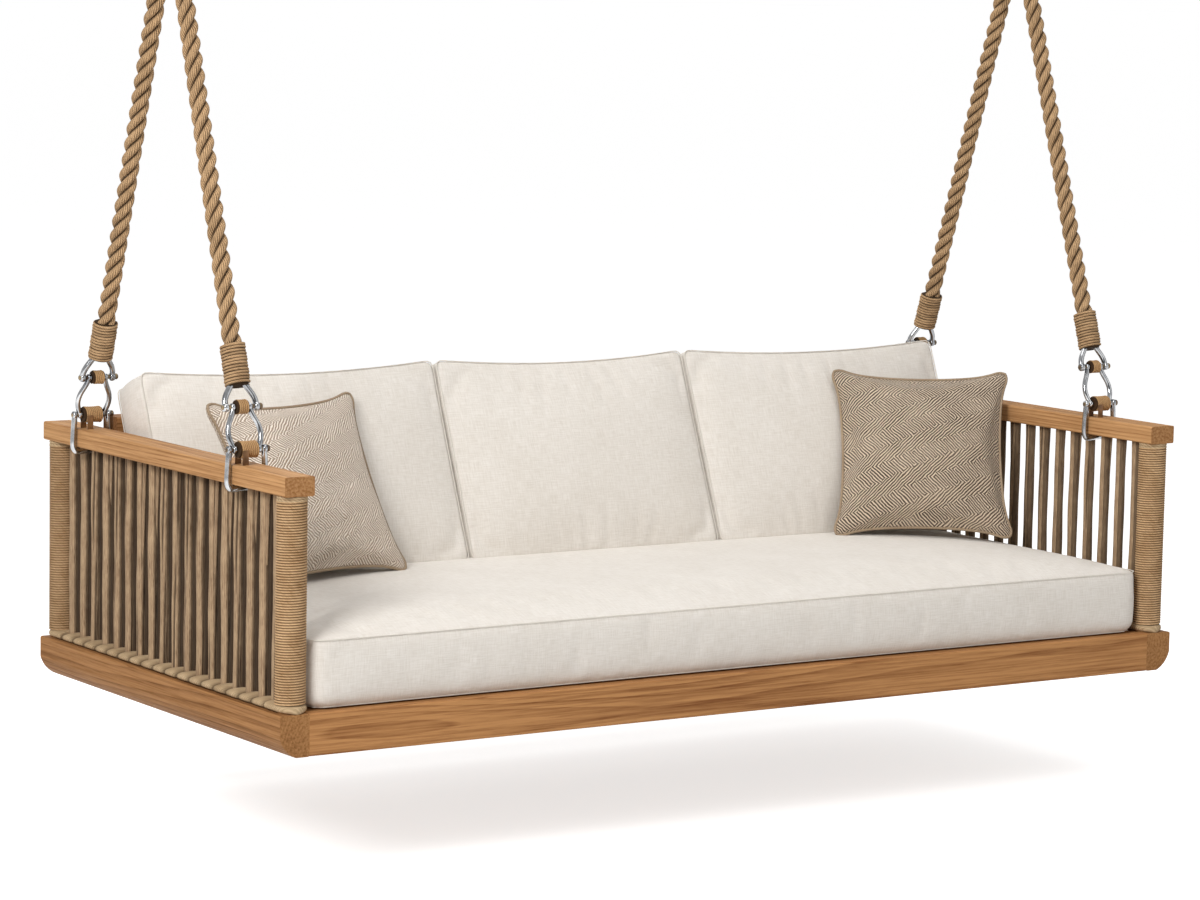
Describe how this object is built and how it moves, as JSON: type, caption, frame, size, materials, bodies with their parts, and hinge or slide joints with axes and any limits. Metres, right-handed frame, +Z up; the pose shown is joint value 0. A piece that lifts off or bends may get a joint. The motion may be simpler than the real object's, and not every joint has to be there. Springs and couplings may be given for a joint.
{
  "type": "hanging swing bed",
  "caption": "Hanging daybed swing: wooden frame with corded arms and back, boxed seat and back cushions, throw pillows, hung by rope and shackles from ceiling brackets.",
  "frame": {"origin": "on the ceiling face, midway between the two ceiling brackets, above the swing axis", "axes": "+X to the sitter's left along the bed (to the right in the picture), +Y to the back of the bed, +Z up"},
  "size_m": [2.219, 1.044, 1.668],
  "materials": {
    "teak": "satin",
    "teak_dark": "satin",
    "linen": "matte",
    "herringbone": "matte",
    "arm_cord": "matte",
    "cream_cord": "matte",
    "twine": "matte",
    "manila": "matte",
    "leather": "matte",
    "steel": "satin",
    "forged_steel": "satin"
  },
  "bodies": {
    "ceiling": {"left_pivot_bolt": "forged_steel", "right_pivot_bolt": "forged_steel", "left_ceiling_bracket": "forged_steel", "right_ceiling_bracket": "forged_steel"},
    "bed": {"front_apron": "teak", "rear_apron": "teak", "left_side_beam": "teak", "right_side_beam": "teak", "back_bearer": "teak", "middle_bearer": "teak_dark", "slat_ledgers": "teak_dark", "seat_slats": "teak", "left_arm_rail": "teak", "right_arm_rail": "teak", "back_rail": "teak", "left_posts": "teak", "right_posts": "teak", "left_post_windings": "twine", "right_post_windings": "twine", "left_binding": "cream_cord", "right_binding": "cream_cord", "left_arm_cords": "arm_cord", "right_arm_cords": "arm_cord", "back_posts": "teak", "back_cords": "arm_cord", "left_front_rail_strap": "steel", "left_rear_rail_strap": "steel", "right_front_rail_strap": "steel", "right_rear_rail_strap": "steel", "left_front_link": "steel", "left_rear_link": "steel", "right_front_link": "steel", "right_rear_link": "steel", "left_pins": "steel", "right_pins": "steel", "left_spools": "leather", "right_spools": "leather", "keeper_straps": "leather", "left_front_shackle": "steel", "left_rear_shackle": "steel", "right_front_shackle": "steel", "right_rear_shackle": "steel", "left_front_serving": "twine", "left_rear_serving": "twine", "right_front_serving": "twine", "right_rear_serving": "twine", "left_front_rope": "manila", "left_rear_rope": "manila", "right_front_rope": "manila", "right_rear_rope": "manila", "left_front_socket": "forged_steel", "left_rear_socket": "forged_steel", "right_front_socket": "forged_steel", "right_rear_socket": "forged_steel"},
    "seat_cushion": {"seat_cushion": "linen"},
    "left_back_cushion": {"left_back_cushion": "linen"},
    "middle_back_cushion": {"middle_back_cushion": "linen"},
    "right_back_cushion": {"right_back_cushion": "linen"},
    "left_throw_pillow": {"left_throw_pillow": "herringbone"},
    "right_throw_pillow": {"right_throw_pillow": "herringbone"}
  },
  "joints": [
    {"name": "swing", "type": "hinge", "parent": "ceiling", "child": "bed", "pos_m": [0, 0, -0.068], "axis": [1, 0, 0], "range_deg": [-20, 20]},
    {"name": "seat_cushion_lift", "type": "slide", "parent": "bed", "child": "seat_cushion", "axis": [0, 0, 1], "range_m": [0, 0.25]},
    {"name": "left_back_cushion_lift", "type": "slide", "parent": "seat_cushion", "child": "left_back_cushion", "axis": [0, 0, 1], "range_m": [0, 0.45]},
    {"name": "middle_back_cushion_lift", "type": "slide", "parent": "seat_cushion", "child": "middle_back_cushion", "axis": [0, 0, 1], "range_m": [0, 0.45]},
    {"name": "right_back_cushion_lift", "type": "slide", "parent": "seat_cushion", "child": "right_back_cushion", "axis": [0, 0, 1], "range_m": [0, 0.45]},
    {"name": "left_throw_pillow_lift", "type": "slide", "parent": "left_back_cushion", "child": "left_throw_pillow", "axis": [0, 0, 1], "range_m": [0, 0.45]},
    {"name": "right_throw_pillow_lift", "type": "slide", "parent": "right_back_cushion", "child": "right_throw_pillow", "axis": [0, 0, 1], "range_m": [0, 0.45]}
  ]
}
